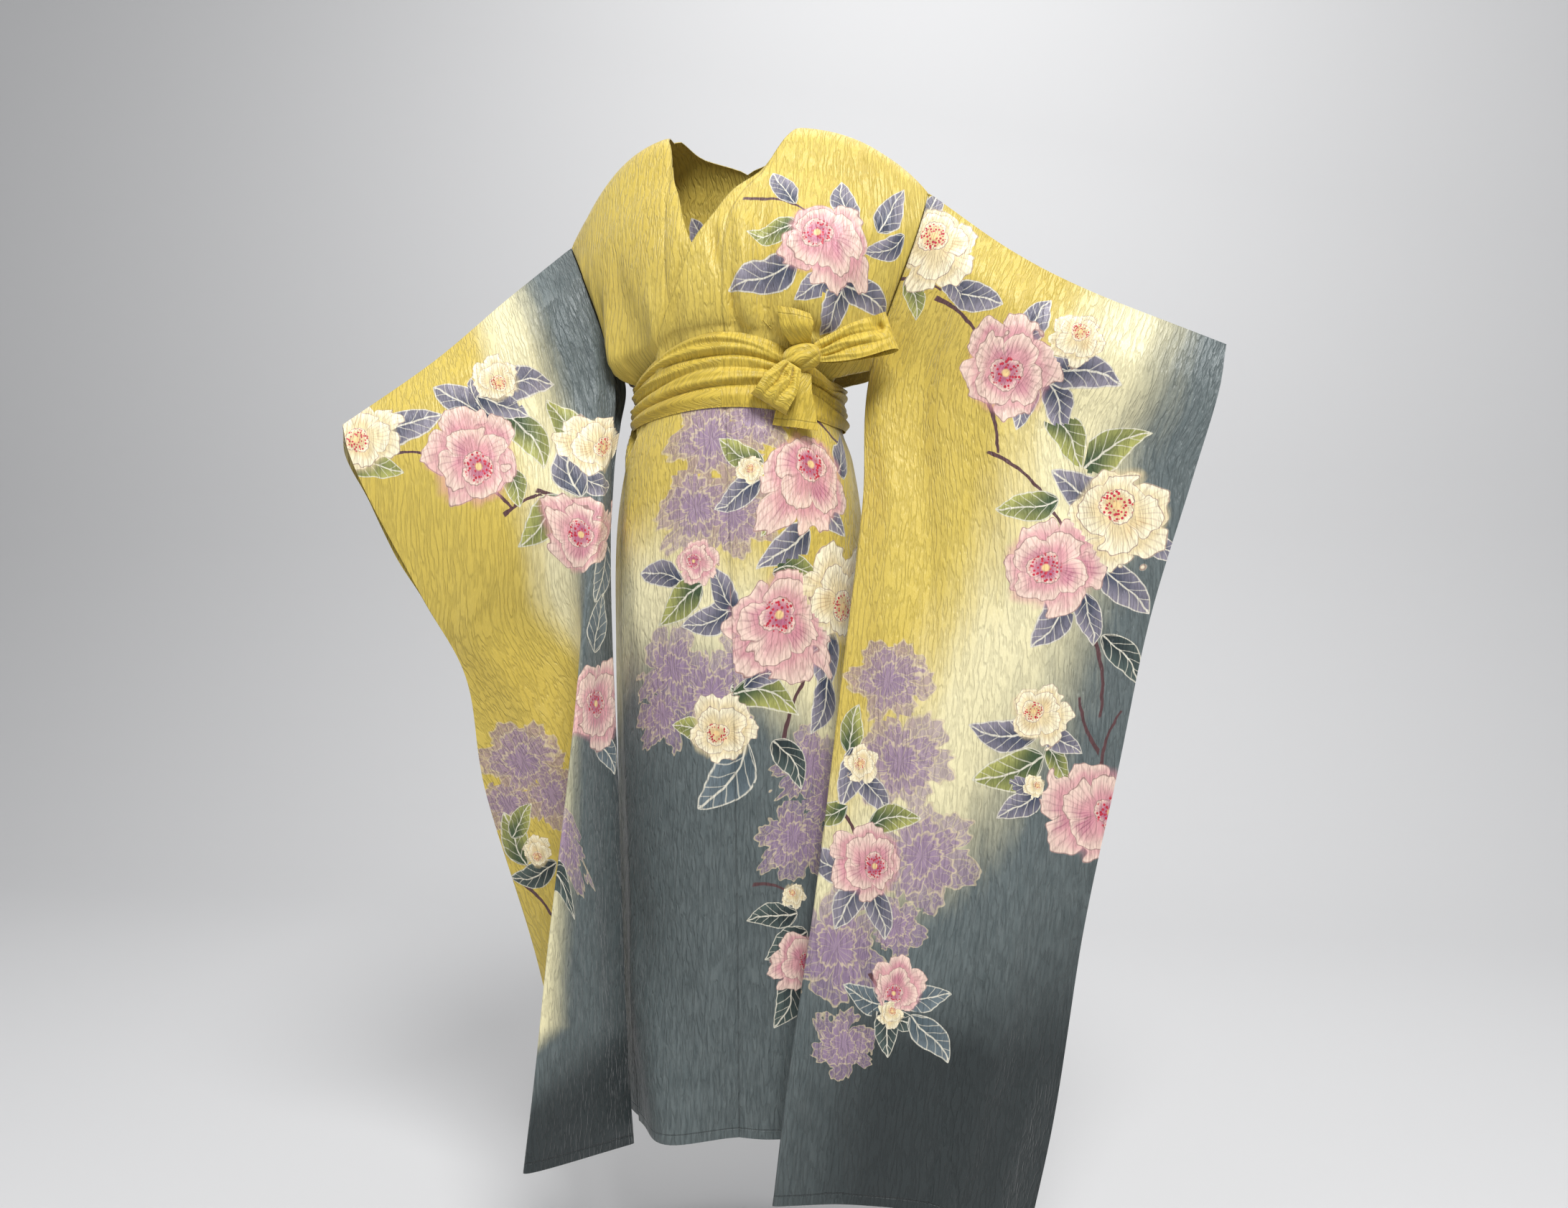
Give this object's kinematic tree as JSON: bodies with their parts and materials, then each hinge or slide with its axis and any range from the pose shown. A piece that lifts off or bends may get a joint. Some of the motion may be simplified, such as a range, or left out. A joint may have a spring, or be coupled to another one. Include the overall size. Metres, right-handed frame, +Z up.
{
  "type": "kimono",
  "caption": "Long-sleeved wrap-front silk kimono, hollow as worn with arms held out, tied at the waist by a soft pleated sash with a bow.",
  "frame": {"origin": "middle of the shoulder line, where the wearer's shoulders hold the garment up", "axes": "+Z up, front faces -Y, +X towards the wearer's left sleeve"},
  "size_m": [1.0474, 0.3775, 1.3612],
  "materials": {
    "dyed_silk": "satin crepe, dyed from yellow through cream to slate, with printed flower sprays",
    "sash_silk": "soft yellow satin crepe"
  },
  "bodies": {
    "root": {"front_left": "dyed_silk", "overlap_left": "dyed_silk", "front_right": "dyed_silk", "overlap_right": "dyed_silk", "back_left": "dyed_silk", "back_right": "dyed_silk", "sleeve_left_front": "dyed_silk", "sleeve_left_back": "dyed_silk", "sleeve_right_front": "dyed_silk", "sleeve_right_back": "dyed_silk", "sash_wrap": "sash_silk", "sash_knot": "sash_silk", "sash_bow": "sash_silk", "sash_puff": "sash_silk", "sash_tail_up": "sash_silk", "sash_tail_down": "sash_silk"}
  },
  "joints": []
}
